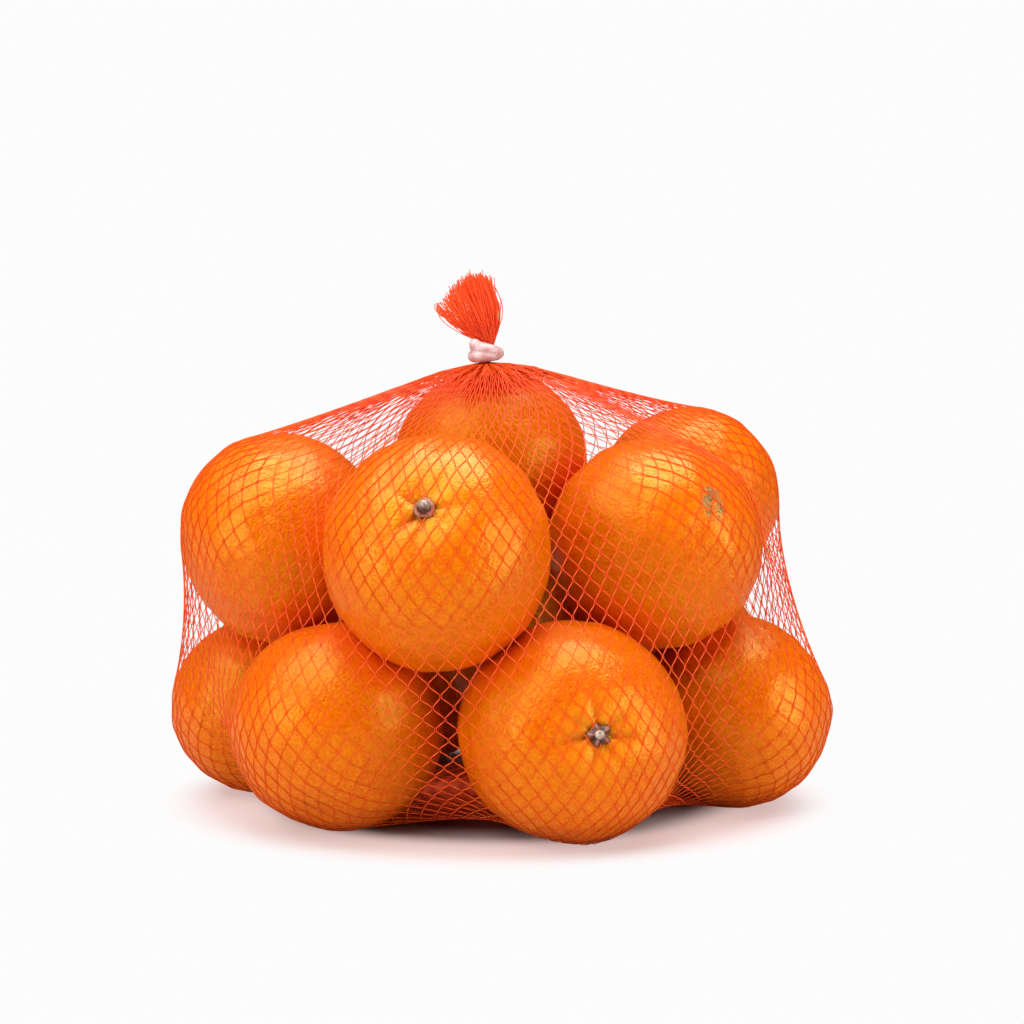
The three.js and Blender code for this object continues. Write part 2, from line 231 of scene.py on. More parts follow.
def add_node(tree, kind, inputs=None, **settings):
    """A node with its settings made, and its inputs linked or set."""
    node = tree.nodes.new(kind)
    for name, value in settings.items():
        setattr(node, name, value)
    for name, value in (inputs or {}).items():
        if isinstance(value, bpy.types.NodeSocket):
            tree.links.new(value, node.inputs[name])
        else:
            node.inputs[name].default_value = value
    return node


def marked(tree, name):
    """The number that mark_points has stored under a name."""
    return add_node(tree, "ShaderNodeAttribute", attribute_name=name).outputs["Fac"]


def blend_colours(tree, share, first, second):
    """The colour that goes from first to second as share goes from 0 to 1."""
    share_socket, first_socket, second_socket, colour_socket = 0, 6, 7, 2
    inputs = {share_socket: share, first_socket: first, second_socket: second}
    node = add_node(tree, "ShaderNodeMix", inputs, data_type="RGBA", clamp_factor=True)
    return node.outputs[colour_socket]


def ease(tree, value, start, end, low=0.0, high=1.0):
    """A smooth step of a value from low at start to high at end."""
    inputs = {"Value": value, "From Min": start, "From Max": end, "To Min": low, "To Max": high}
    node = add_node(tree, "ShaderNodeMapRange", inputs, interpolation_type="SMOOTHSTEP")
    return node.outputs["Result"]


def times(tree, first, second):
    """The product of two values."""
    return add_node(tree, "ShaderNodeMath", {0: first, 1: second}, operation="MULTIPLY").outputs[0]


def add_bump(tree, shader, height, strength, depth):
    """Gives a surface the light and shade of small heights, of a depth in millimetres."""
    bump = add_node(tree, "ShaderNodeBump", {"Height": height, "Strength": strength, "Distance": depth * MM})
    tree.links.new(bump.outputs["Normal"], shader.inputs["Normal"])


def new_finish(name):
    """An empty material with its tree, its Principled shader and the place that its patterns read."""
    finish = bpy.data.materials.new(name)
    finish.use_nodes = True
    tree = finish.node_tree
    place = add_node(tree, "ShaderNodeTexCoord").outputs["Object"]
    return finish, tree, tree.nodes["Principled BSDF"], place


def patchy_group():
    """A shader group that mottles a surface at a coarse and a fine size, for any finish that isn't even."""
    tree = bpy.data.node_groups.new("patchy", "ShaderNodeTree")
    for name, kind in (("Place", "Vector"), ("Coarse", "Float"), ("Fine", "Float")):
        tree.interface.new_socket(name, in_out="INPUT", socket_type="NodeSocket" + kind)
    for name in ("Coarse share", "Fine share"):
        tree.interface.new_socket(name, in_out="OUTPUT", socket_type="NodeSocketFloat")
    given = add_node(tree, "NodeGroupInput").outputs
    shares = {}
    for name, detail in PATCHY_DETAIL.items():
        inputs = {"Vector": given["Place"], "Scale": given[name]}
        inputs.update({"Detail": detail, "Roughness": PATCHY_ROUGHNESS})
        noise = add_node(tree, "ShaderNodeTexNoise", inputs)
        shares[name + " share"] = ease(tree, noise.outputs["Fac"], *PATCHY_EDGE)
    add_node(tree, "NodeGroupOutput", shares)
    return tree


PATCHY = patchy_group()


def patchy_shares(tree, place, coarse, fine):
    """The coarse and fine shares of the patchy group in one material, at these scales."""
    inputs = {"Place": place, "Coarse": coarse, "Fine": fine}
    node = add_node(tree, "ShaderNodeGroup", inputs, node_tree=PATCHY)
    return node.outputs["Coarse share"], node.outputs["Fine share"]


def scarred_share(tree, place):
    """How much of the peel is scarred: a marked patch with ragged holes in it."""
    inputs = {"Vector": place, "Scale": SCAR_HOLES["scale"]}
    inputs.update({"Detail": SCAR_HOLES["detail"], "Roughness": SCAR_HOLES["roughness"]})
    ragged = add_node(tree, "ShaderNodeTexNoise", inputs).outputs["Fac"]
    return times(tree, ease(tree, marked(tree, "scar"), *SCAR_EDGE), ease(tree, ragged, *SCAR_HOLES["edge"]))


def peel_finish():
    """Waxy orange peel with redder and yellower patches, sunken pores, a scar where one is marked, and
    painted shade: darker down the furrows and a deeper red where fruits lie close.
    """
    finish, tree, shader, place = new_finish("mandarin_peel")
    coarse, fine = patchy_shares(tree, place, **PEEL_MOTTLE)
    broad, grain = patchy_shares(tree, place, **PEEL_FRECKLES)
    pores = add_node(tree, "ShaderNodeTexVoronoi", {"Vector": place, "Scale": PORES["scale"]})
    pore = ease(tree, pores.outputs["Distance"], *PORES["edge"])
    between = marked(tree, "between")
    from_stem = marked(tree, "from_stem")
    scar_colour = blend_colours(tree, grain, SCAR_BROWN, SCAR_GREY)
    layers = [
        dict(where=coarse, share=0.6, colour=PEEL_YELLOW),
        dict(where=broad, share=0.45, colour=PEEL_RED),
        dict(where=fine, share=0.45, colour=PEEL_YELLOW),
        dict(where=grain, share=0.68, colour=PEEL_SPECK),
        dict(where=pore, share=0.3, colour=PEEL_PORE),
        # Painted shade: the peel turns a deeper red where another fruit lies close, standing in for the red
        # shade between them.
        dict(where=between, share=0.65, colour=PEEL_PAINTED_SHADE_BETWEEN),
        dict(where=ease(tree, from_stem, *STEM_PALE_EDGE), share=0.6, colour=PEEL_STEM_PALE),
        # Painted shade: the peel is darker down the furrows round the stem.
        dict(where=ease(tree, marked(tree, "furrow"), *FURROW_SHADE_EDGE), share=0.75, colour=PEEL_FURROW_SHADE),
        dict(where=ease(tree, from_stem, *STEM_DARK_EDGE), share=0.8, colour=PEEL_STEM_DARK),
        dict(where=scarred_share(tree, place), share=0.9, colour=scar_colour),
    ]
    colour = PEEL_ORANGE
    for layer in layers:
        colour = blend_colours(tree, times(tree, layer["where"], layer["share"]), colour, layer["colour"])
    tree.links.new(colour, shader.inputs["Base Color"])
    rough = ease(tree, between, 0, 1, ease(tree, broad, 0, 1, *PEEL_ROUGHNESS), BETWEEN_ROUGHNESS)
    tree.links.new(rough, shader.inputs["Roughness"])
    shader.inputs["Specular IOR Level"].default_value = PEEL_GLOSS
    shader.inputs["Specular Tint"].default_value = PEEL_SHEEN
    add_bump(tree, shader, times(tree, pore, -1.0), PORES["strength"], PORES["depth"])
    return finish


ball = bmesh.new()
bmesh.ops.create_icosphere(ball, subdivisions=PEEL_FINENESS, radius=1)
BALL_WAYS = np.array([corner.co for corner in ball.verts])
BALL_FACES = [[corner.index for corner in face.verts] for face in ball.faces]
ball.free()

for number, fruit in enumerate(MANDARINS):
    draw = np.random.default_rng(number)
    fruit["number"] = number
    fruit["turn"] = turn_up_to(fruit["stem"])
    fruit["lumps"] = [
        (depth, draw.normal(size=(3, LUMP_WAVES)) * fineness, draw.uniform(0, 2 * math.pi, LUMP_WAVES))
        for depth, fineness in zip(LUMP_DEPTH, LUMP_FINENESS)
    ]
    count, uneven = FURROWS["count"], FURROWS["uneven"]
    even = np.arange(count) + draw.uniform(-uneven, uneven, count)
    deep = FURROWS["depth"] * draw.uniform(FURROWS["shallowest"], 1, count)
    fruit["furrows"] = list(zip(even / count * 2 * math.pi, deep))
    fruit["points"] = peel_points(BALL_WAYS, fruit)
    on_floor = -fruit["points"][:, 2].min() - FLOOR_FLAT_DEPTH
    fruit["middle"] = np.array((*fruit["at"], on_floor)[:3], float)

peel = peel_finish()
for fruit in MANDARINS:
    points = fruit["points"] + fruit["middle"]
    neighbours = [other for other in MANDARINS if other is not fruit]
    for neighbour in neighbours:
        lift_off_peel(points, neighbour, PRESSED_GAP, PRESSED_SHARE)
    points[:, 2] = np.maximum(points[:, 2], FRUIT_ABOVE_FLOOR)
    piece = add_piece("mandarin_" + fruit["name"], points, BALL_FACES, peel)
    mark_points(piece.data, "from_stem", np.arccos(np.clip(BALL_WAYS[:, 2], -1, 1)))
    # Furrow depth, which the peel's colour also uses to paint shade down the furrows.
    mark_points(piece.data, "furrow", furrow_depth(BALL_WAYS, fruit) / FURROWS["depth"])
    # How close the neighbours lie, for the painted red shade between fruits and the rougher peel there.
    mark_points(piece.data, "between", closeness(points, neighbours, BETWEEN_REACH))
    scar = np.zeros(len(points))
    if fruit["name"] == SCARRED:
        aside = points - fruit["middle"] - SCAR_WAY * fruit["radius"]
        across = np.hypot(aside[:, 0], aside[:, 1]) / SCAR_HALF_WIDTH
        scar = 1 - np.hypot(across, aside[:, 2] / SCAR_HALF_HEIGHT)
    mark_points(piece.data, "scar", np.clip(scar, 0, 1))
    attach(piece, "root")
    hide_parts("net_pack")


# Stem buttons: the dry woody star that stays on a picked fruit, with the stem's pale stub in its middle.
# Each one has grown to the peel and sits down in the hollow at the stem end.
BUTTON_RADIUS = 3.9
BUTTON_HEIGHT = 0.7
BUTTON_SUNK = 1.2
BUTTON_POINTS = 5
BUTTON_RIDGE = dict(height=0.5, sharpness=3)
BUTTON_FALL = 2.5
BUTTON_STAR = (0.1, 0.16)
BUTTON_UNEVEN = dict(depth=0.06, waves=3)
BUTTON_DOWN = 0.1
BUTTON_SEED = 100
STUB = dict(radius=1.5, height=0.7)
STUB_COLOUR_STEEPNESS = 3
DOMED = "high_front"
DOME_STUB = dict(radius=2.2, height=1.9)
DOMED_SIZE = 0.82
DOMED_STAR = 0.04
DOMED_RIDGE = 0.8
DOMED_PAINTED_TOP_LIGHT = 0.5
BUTTON_RINGS = 16
BUTTON_SIDES = 60
BUTTON_PATCHES = dict(coarse=700, fine=2200)
BUTTON_ROUGHNESS = 0.32
BUTTON_CRACKS = dict(strength=0.3, depth=0.3)
BUTTON_DARK = (0.022, 0.005, 0.002, 1)
BUTTON_BROWN = (0.10, 0.022, 0.010, 1)
BUTTON_RED = (0.30, 0.085, 0.050, 1)
STUB_DARK = (0.12, 0.075, 0.045, 1)
STUB_PALE = (0.50, 0.40, 0.29, 1)


def button_finish():
    """Dry woody brown, reddish on the ridges of the star, with a pale stub in the middle, which is painted
    paler at its top where it is domed.
    """
    finish, tree, shader, place = new_finish("stem_button")
    coarse, fine = patchy_shares(tree, place, **BUTTON_PATCHES)
    colour = blend_colours(tree, coarse, BUTTON_DARK, BUTTON_BROWN)
    colour = blend_colours(tree, marked(tree, "ridge"), colour, BUTTON_RED)
    stub_colour = blend_colours(tree, coarse, STUB_DARK, STUB_PALE)
    colour = blend_colours(tree, marked(tree, "stub"), colour, stub_colour)
    tree.links.new(colour, shader.inputs["Base Color"])
    shader.inputs["Roughness"].default_value = BUTTON_ROUGHNESS
    add_bump(tree, shader, fine, **BUTTON_CRACKS)
    return finish


def button_points(fruit):
    """Rings of points from the button's middle to its edge and underside, with each one's stub and ridge."""
    draw = np.random.default_rng(BUTTON_SEED + fruit["number"])
    domed = fruit["name"] == DOMED
    stub = DOME_STUB if domed else STUB
    star = DOMED_STAR if domed else draw.uniform(*BUTTON_STAR)
    turn = np.arange(BUTTON_SIDES) / BUTTON_SIDES * 2 * math.pi
    lobe = np.cos(BUTTON_POINTS * turn + draw.uniform(*WAVE_STARTS))
    uneven = BUTTON_UNEVEN["depth"] * np.sin(BUTTON_UNEVEN["waves"] * turn + draw.uniform(*WAVE_STARTS))
    edge = BUTTON_RADIUS * (1 - star + star * lobe) * (1 + uneven)
    edge *= DOMED_SIZE if domed else 1
    points = [(0, 0, BUTTON_HEIGHT + stub["height"])]
    stub_and_lit_top_shares, ridge_shares = [1], [0]
    for ring in range(1, BUTTON_RINGS + 1):
        share = ring / BUTTON_RINGS
        far = edge * share
        inside = np.clip(1 - (far / stub["radius"]) ** 2, 0, 1)
        ridge = np.clip(lobe, 0, 1) ** BUTTON_RIDGE["sharpness"] * (inside == 0)
        ridge *= math.sin(math.pi * share ** 2)
        rise = BUTTON_HEIGHT * (1 - share ** BUTTON_FALL) + BUTTON_RIDGE["height"] * ridge
        rise += stub["height"] * np.sqrt(inside)
        points.extend(np.stack((far * np.cos(turn), far * np.sin(turn), rise), axis=1))
        stub_and_lit_top_shares.extend(np.minimum(1, STUB_COLOUR_STEEPNESS * inside))
        ridge_shares.extend(np.maximum(ridge, DOMED_RIDGE * (inside == 0)) if domed else ridge)
    points.append((0, 0, -BUTTON_SUNK))
    points = np.array(points)
    points[:, 2] += fruit["radius"] * peel_reach(np.array(((0.0, 0.0, 1.0),)), fruit)[0] - BUTTON_DOWN
    placed = points @ fruit["turn"].T * np.array((1, 1, fruit["tall"])) + fruit["middle"]
    stub_and_lit_top_shares = np.array(stub_and_lit_top_shares + [0])
    # Painted light: the domed stub keeps its pale colour at the top and gives way to the dark button down
    # its sides, as if lit from above.
    if domed:
        under_top = (placed[:, 2] - placed[0, 2]) / stub["radius"]
        stub_and_lit_top_shares = stub_and_lit_top_shares * np.clip(DOMED_PAINTED_TOP_LIGHT + under_top, 0, 1)
    return placed, stub_and_lit_top_shares, ridge_shares + [0]


def button_faces():
    """Triangles at the button's two middles, and squares between its rings."""
    faces = []
    last = 1 + BUTTON_RINGS * BUTTON_SIDES
    for side in range(BUTTON_SIDES):
        after = (side + 1) % BUTTON_SIDES
        faces.append((0, 1 + side, 1 + after))
        for ring in range(BUTTON_RINGS - 1):
            inner = 1 + ring * BUTTON_SIDES
            outer = inner + BUTTON_SIDES
            faces.append((inner + side, outer + side, outer + after, inner + after))
        rim = 1 + (BUTTON_RINGS - 1) * BUTTON_SIDES
        faces.append((last, rim + after, rim + side))
    return faces


one_button = button_faces()
placed, stub_and_lit_top_shares, ridge_shares = (np.concatenate(part) for part in zip(*map(button_points, MANDARINS)))
points_each = len(placed) // len(MANDARINS)
all_faces = [
    tuple(corner + number * points_each for corner in face)
    for number in range(len(MANDARINS))
    for face in one_button
]
buttons = add_piece("stem_buttons", placed, all_faces, button_finish())
mark_points(buttons.data, "stub", stub_and_lit_top_shares)
mark_points(buttons.data, "ridge", ridge_shares)
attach(buttons, "root")
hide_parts("net_pack")


# Net: a tube of knitted plastic strand, gathered and closed under the fruit and drawn together above them.
# Two strands run side by side through every knot and part again, so that the tube stretches into diamonds.
# It is pulled tight over the fruit and hangs free between them.
KNOTS_AROUND = 104
KNOT_ROWS = 64
CELL_SIDE = 5.1
STRAND_THICKNESS = 0.3
STRAND_SIDES = 5
PULLED_TO = 0.9
UNEVEN_CELLS = 0.05
SLACK_PULL = 0.04
PEEL_GRIP = 0.98
KNOTS_OFF_PEEL = 0.6
STRANDS_OFF_PEEL = 0.55
SETTLE_STEPS = 1600
SAG_PULL = 0.004
SAG_BELOW = 14
FOOTPRINT = (78, 57)
BUNCHED_AT_STEP = 1200
BUNCHED = 0.28
BUNCHED_NEAR = 1
SETTLE_RATE = 0.22
SETTLE_KEEP = 0.86
SETTLE_SEED = 5
LEAST_LENGTH = 1e-9
START_HALF_WIDTH = 128
START_HALF_DEPTH = 112
START_ROUNDNESS = 0.7
NECK = dict(x=-3.2, y=-7, radius=1.7, foot=143.6, top=150.7)
COLLAR_RINGS = [dict(radius=8, drop=0.6), dict(radius=15, drop=1.8)]
COLLAR_TILT = 0.065
PLEAT_DEPTH = 7
PLEAT_REACH = 26
COLUMNS_TO_A_PLEAT = 4.6
PLEAT_SHIFT = 0.6
PLEAT_SHALLOWEST = 0.5
PLEAT_SEED = 11
SHOULDER_ROWS = 6
SHOULDER_SOFTENING = 2
SHOULDER_KEEP = 0.5
FOLDS = 200
FOLD_POINTS = 18
FOLD_REACH = (8, 21)
FOLD_DROP = (1.5, 8)
FOLD_END_DROP = 1.2
FOLD_TWIST = 0.25
FOLD_TWIST_AT_NECK = 0.3
FOLD_DEEPEST_NEAR_NECK = 0.8
FOLD_REDNESS = 0.6
FOLD_SEED = 13
LEAST_STEP = 1e-6
BASE_GATHER = dict(x=22, y=14, z=2.5, radius=4)
KNOT_WIDTH = 0.5
KNOT_HEIGHT = 1.2
NET_PANELS = 3
NET_RED = (0.59, 0.050, 0.010, 1)
NET_ORANGE = (0.61, 0.076, 0.016, 1)
NET_KNOT = (0.55, 0.028, 0.007, 1)
NET_PAINTED_PEEL_LIGHT = (0.57, 0.075, 0.001, 1)
NET_OVER_PEEL = 12
NET_LIT_THROUGH = (1.0, 0.3, 0.15, 1)
NET_CLEARNESS = (0.35, 0.9)
NET_GLOW = 0.15
NET_KNOT_GLOW = 0.25
NET_KNOT_SHARE = 0.7
NET_PAINTED_PEEL_LIGHT_SHARE = 0.95
NET_PATCHES = dict(coarse=60, fine=900)
NET_ROUGHNESS = (0.35, 0.5)
NET_GLOSS = 0.15
NET_UNLIT = (0, 0, 0, 1)


def mix_shaders(tree, share, first, second):
    """The shader that goes from first to second as share goes from 0 to 1."""
    return add_node(tree, "ShaderNodeMixShader", {0: share, 1: first.outputs[0], 2: second.outputs[0]})


def net_finish(name, glow):
    """Thin red-orange plastic, redder at the knots, painted in the peel's orange where it lies on or near a
    fruit as light from the peel showing through, and glowing faintly elsewhere.
    """
    finish, tree, shader, place = new_finish(name)
    coarse, fine = patchy_shares(tree, place, **NET_PATCHES)
    knot = marked(tree, "knot")
    on_peel = marked(tree, "on_peel")
    colour = blend_colours(tree, coarse, NET_RED, NET_ORANGE)
    colour = blend_colours(tree, times(tree, knot, NET_KNOT_SHARE), colour, NET_KNOT)
    # Painted light: strands on or near a fruit take the peel's orange, as light from the peel showing
    # through them.
    colour = blend_colours(tree, times(tree, on_peel, NET_PAINTED_PEEL_LIGHT_SHARE), colour, NET_PAINTED_PEEL_LIGHT)
    tree.links.new(colour, shader.inputs["Base Color"])
    tree.links.new(ease(tree, fine, 0, 1, *NET_ROUGHNESS), shader.inputs["Roughness"])
    shader.inputs["Specular IOR Level"].default_value = NET_GLOSS
    # The emission is a painted glow standing in for light through the thin plastic: none on the peel, weaker
    # at the knots.
    glowing = times(tree, ease(tree, on_peel, 0, 1, glow, 0.0), ease(tree, knot, 0, 1, 1.0, NET_KNOT_GLOW))
    tree.links.new(blend_colours(tree, glowing, NET_UNLIT, colour), shader.inputs["Emission Color"])
    shader.inputs["Emission Strength"].default_value = 1.0
    shadow = add_node(tree, "ShaderNodeLightPath").outputs["Is Shadow Ray"]
    clear = add_node(tree, "ShaderNodeBsdfTransparent", {"Color": NET_LIT_THROUGH})
    clearness = times(tree, shadow, ease(tree, on_peel, 0, 1, *NET_CLEARNESS))
    mixed = mix_shaders(tree, clearness, shader, clear)
    tree.links.new(mixed.outputs[0], tree.nodes["Material Output"].inputs["Surface"])
    return finish


def strand_tree():
    """Geometry nodes that give a path of edges the round section of a strand."""
    tree = bpy.data.node_groups.new("strand_on_path", "GeometryNodeTree")
    kinds = dict(Path="Geometry", Thickness="Float", Sides="Int", Finish="Material")
    sockets = {}
    for name, kind in kinds.items():
        sockets[name] = tree.interface.new_socket(name, in_out="INPUT", socket_type="NodeSocket" + kind)
    tree.interface.new_socket("Strands", in_out="OUTPUT", socket_type="NodeSocketGeometry")
    given = add_node(tree, "NodeGroupInput").outputs
    half = times(tree, given["Thickness"], 0.5)
    inputs = {"Resolution": given["Sides"], "Radius": half}
    section = add_node(tree, "GeometryNodeCurvePrimitiveCircle", inputs)
    path = add_node(tree, "GeometryNodeMeshToCurve", {"Mesh": given["Path"]})
    inputs = {"Curve": path.outputs["Curve"], "Profile Curve": section.outputs["Curve"], "Fill Caps": True}
    tube = add_node(tree, "GeometryNodeCurveToMesh", inputs)
    smooth = add_node(tree, "GeometryNodeSetShadeSmooth", {"Geometry": tube.outputs["Mesh"]})
    real = add_node(tree, "GeometryNodeRealizeInstances", {"Geometry": smooth.outputs["Geometry"]})
    inputs = {"Geometry": real.outputs["Geometry"], "Material": given["Finish"]}
    dressed = add_node(tree, "GeometryNodeSetMaterial", inputs)
    add_node(tree, "NodeGroupOutput", {"Strands": dressed.outputs["Geometry"]})
    return tree, {name: socket.identifier for name, socket in sockets.items()}


STRAND_TREE, STRAND_INPUTS = strand_tree()


def add_strands(name, paths, knots, finish, thickness=STRAND_THICKNESS):
    """One mesh of round strands along paths, which are arrays of strands, points and places."""
    strands, points = paths.shape[:2]
    first = (np.arange(strands)[:, None] * points + np.arange(points - 1)).reshape(-1)
    mesh = bpy.data.meshes.new(name + "_path")
    mesh.from_pydata(paths.reshape(-1, 3) * MM, np.stack((first, first + 1), axis=1), [])
    mark_points(mesh, "knot", knots.reshape(-1))
    mark_points(mesh, "on_peel", closeness(paths.reshape(-1, 3), MANDARINS, NET_OVER_PEEL))
    piece = add_object(name, mesh)
    modifier = piece.modifiers.new("strands", "NODES")
    modifier.node_group = STRAND_TREE
    modifier[STRAND_INPUTS["Thickness"]] = thickness * MM
    modifier[STRAND_INPUTS["Sides"]] = STRAND_SIDES
    modifier[STRAND_INPUTS["Finish"]] = finish
    apply_modifiers(piece)
    piece.data.name = name
    return piece


def knot_ring(middle_x, middle_y, radius, row):
    """A row of knots on a circle, half a cell on at every other row, and how far right each one lies."""
    turn = (np.arange(KNOTS_AROUND) + 0.5 * (row % 2)) / KNOTS_AROUND * 2 * math.pi
    return middle_x + radius * np.cos(turn), middle_y + radius * np.sin(turn), np.cos(turn)


def loose_net():
    """The knots of the net before it is pulled tight: a roomy bag round all the fruit."""
    knots = np.zeros((KNOT_ROWS, KNOTS_AROUND, 3))
    for row in range(KNOT_ROWS):
        share = row / (KNOT_ROWS - 1)
        x, y, _ = knot_ring(0, 0, 1, row)
        spread = math.sin(math.pi * share) ** START_ROUNDNESS
        height = NECK["foot"] * 0.5 * (1 - math.cos(math.pi * share))
        across = START_HALF_WIDTH * spread * x
        deep = START_HALF_DEPTH * spread * y
        knots[row] = np.stack((across, deep, 0 * x + height), axis=1)
    x, y, _ = knot_ring(BASE_GATHER["x"], BASE_GATHER["y"], BASE_GATHER["radius"], 0)
    knots[0] = np.stack((x, y, 0 * x + BASE_GATHER["z"]), axis=1)
    x, y, _ = knot_ring(NECK["x"], NECK["y"], NECK["radius"], KNOT_ROWS - 1)
    knots[-1] = np.stack((x, y, 0 * x + NECK["foot"]), axis=1)
    for below, collar in enumerate(COLLAR_RINGS):
        row = KNOT_ROWS - 2 - below
        x, y, aside = knot_ring(NECK["x"], NECK["y"], collar["radius"], row)
        tilt = COLLAR_TILT * collar["radius"] * aside
        knots[row] = np.stack((x, y, NECK["foot"] - collar["drop"] + tilt), axis=1)
    return knots


def beside(rows, step):
    """Each row's knots moved on by a cell: backwards on even rows and forwards on odd ones, times step."""
    moved = np.empty_like(rows)
    moved[0::2] = np.roll(rows[0::2], step, axis=1)
    moved[1::2] = np.roll(rows[1::2], -step, axis=1)
    return moved


def link_pull(link, rest):
    """The pull along links of the net: tight ones pull hard, slack ones only a little."""
    length = np.linalg.norm(link, axis=2, keepdims=True)
    return link * np.maximum(SLACK_PULL, 1 - rest / length)


def unit(ways):
    """Ways of length 1."""
    return ways / np.maximum(np.linalg.norm(ways, axis=-1, keepdims=True), LEAST_LENGTH)


def grip_peel(before, after, touching):
    """Stops most of the sideways slide, round the neck, of the knots that touch a fruit."""
    outwards = unit(before[:, :2] - np.array((NECK["x"], NECK["y"])))
    sideways = np.stack((-outwards[:, 1], outwards[:, 0]), axis=1)
    slide = ((after - before)[:, :2] * sideways).sum(axis=1) * touching
    after[:, :2] -= PEEL_GRIP * slide[:, None] * sideways


def bunch_on_fruit(knots):
    """Draws the knots that lie on a fruit together towards its middle line, as the net drags over it."""
    flat = knots.reshape(-1, 3)
    outwards = unit(flat[:, :2] - np.array((NECK["x"], NECK["y"])))
    sideways = np.stack((-outwards[:, 1], outwards[:, 0]), axis=1)
    for fruit in MANDARINS:
        near, _, off = near_peel(flat, fruit, BUNCHED_NEAR)
        on = near[off < BUNCHED_NEAR]
        aside = ((flat[on, :2] - fruit["middle"][:2]) * sideways[on]).sum(axis=1)
        flat[on, :2] -= BUNCHED * aside[:, None] * sideways[on]
    return flat.reshape(knots.shape)


def settle_net():
    """Pulls the net tight over the fruit until it comes to rest."""
    knots = loose_net()
    speed = np.zeros_like(knots)
    draw = np.random.default_rng(SETTLE_SEED)
    cells = (2, KNOT_ROWS - 1, KNOTS_AROUND, 1)
    rest = CELL_SIDE * PULLED_TO * (1 + UNEVEN_CELLS * draw.uniform(-1, 1, cells))
    free = slice(1, KNOT_ROWS - 1 - len(COLLAR_RINGS))
    clear = STRAND_THICKNESS * KNOTS_OFF_PEEL
    for step in range(SETTLE_STEPS):
        if step == BUNCHED_AT_STEP:
            knots[free] = bunch_on_fruit(knots[free])
        straight = link_pull(knots[1:] - knots[:-1], rest[0])
        slanted = link_pull(beside(knots[1:], 1) - knots[:-1], rest[1])
        pull = np.zeros_like(knots)
        pull[:-1] += straight + slanted
        pull[1:] -= straight + beside(slanted, -1)
        speed = speed * SETTLE_KEEP + SETTLE_RATE * pull
        within = np.hypot(knots[..., 0] / FOOTPRINT[0], knots[..., 1] / FOOTPRINT[1]) < 1
        speed[..., 2] -= SAG_PULL * (within & (knots[..., 2] < SAG_BELOW))
        moved = (knots[free] + speed[free]).reshape(-1, 3)
        loose = moved.copy()
        for fruit in MANDARINS:
            lift_off_peel(moved, fruit, clear)
        grip_peel(knots[free].reshape(-1, 3), moved, np.any(moved != loose, axis=1))
        moved[:, 2] = np.maximum(moved[:, 2], STRAND_THICKNESS / 2)
        moved = moved.reshape(-1, KNOTS_AROUND, 3)
        speed[free] = moved - knots[free]
        knots[free] = moved
    return knots


def pleat_neck(knots):
    """Lifts and lowers the knots by turns where the net crowds together, as a drawn net lies in pleats."""
    draw = np.random.default_rng(PLEAT_SEED)
    far = np.hypot(knots[..., 0] - NECK["x"], knots[..., 1] - NECK["y"])
    crowd = np.clip(1 - far / PLEAT_REACH, 0, 1) * np.clip(far / NECK["radius"] - 1, 0, 1)
    crowd *= knots[..., 2] > NECK["foot"] / 2
    column = np.arange(KNOTS_AROUND) + draw.uniform(-PLEAT_SHIFT, PLEAT_SHIFT, KNOTS_AROUND)
    fold = np.sin(math.pi * column / COLUMNS_TO_A_PLEAT) ** 2
    knots[..., 2] -= PLEAT_DEPTH * crowd * fold * draw.uniform(PLEAT_SHALLOWEST, 1, KNOTS_AROUND)
    lowest = KNOT_ROWS - SHOULDER_ROWS
    shoulder = slice(lowest, KNOT_ROWS - 1)
    for _ in range(SHOULDER_SOFTENING):
        between = (knots[lowest + 1:, :, 2] + knots[lowest - 1:-2, :, 2]) / 2
        knots[shoulder, :, 2] = SHOULDER_KEEP * knots[shoulder, :, 2] + (1 - SHOULDER_KEEP) * between
    return knots


def strand_paths(knots):
    """The zigzag path of each strand through the knots, two strands to a column, and where its knots are."""
    rows = len(knots)
    along = unit(np.roll(knots, -1, axis=1) - np.roll(knots, 1, axis=1))
    above = np.concatenate((knots[1:], knots[-1:]))
    below = np.concatenate((knots[:1], knots[:-1]))
    up = unit(above + beside(above, 1) - below - beside(below, 1))
    up[-1] = up[-2]
    paths = []
    for lean in (1, -1):
        places = []
        for row in range(rows):
            odd = row % 2
            shift = 1 if (odd and lean < 0) else 0
            side = lean * (-1 if odd else 1) * KNOT_WIDTH / 2
            at = np.roll(knots[row] + side * along[row], shift, axis=0)
            tall = np.roll(up[row], shift, axis=0) * KNOT_HEIGHT / 2
            places.append((at - tall, at + tall))
        path = []
        for row in range(rows):
            path.extend(places[row])
            if row + 1 < rows:
                start, end = places[row][1], places[row + 1][0]
                path.extend((start + (end - start) / 3, start + (end - start) * 2 / 3))
        paths.append(np.stack(path, axis=1))
    paths = np.stack(paths, axis=1).reshape(2 * KNOTS_AROUND, -1, 3)
    at_knot = np.tile((1, 1, 0, 0), rows)[:paths.shape[1]]
    into_tie = paths[:, -1:] + np.array((0, 0, NECK["top"] - NECK["foot"])) / 2
    paths = np.concatenate((paths, into_tie), axis=1)
    return paths, np.tile(np.append(at_knot, 0), (len(paths), 1))


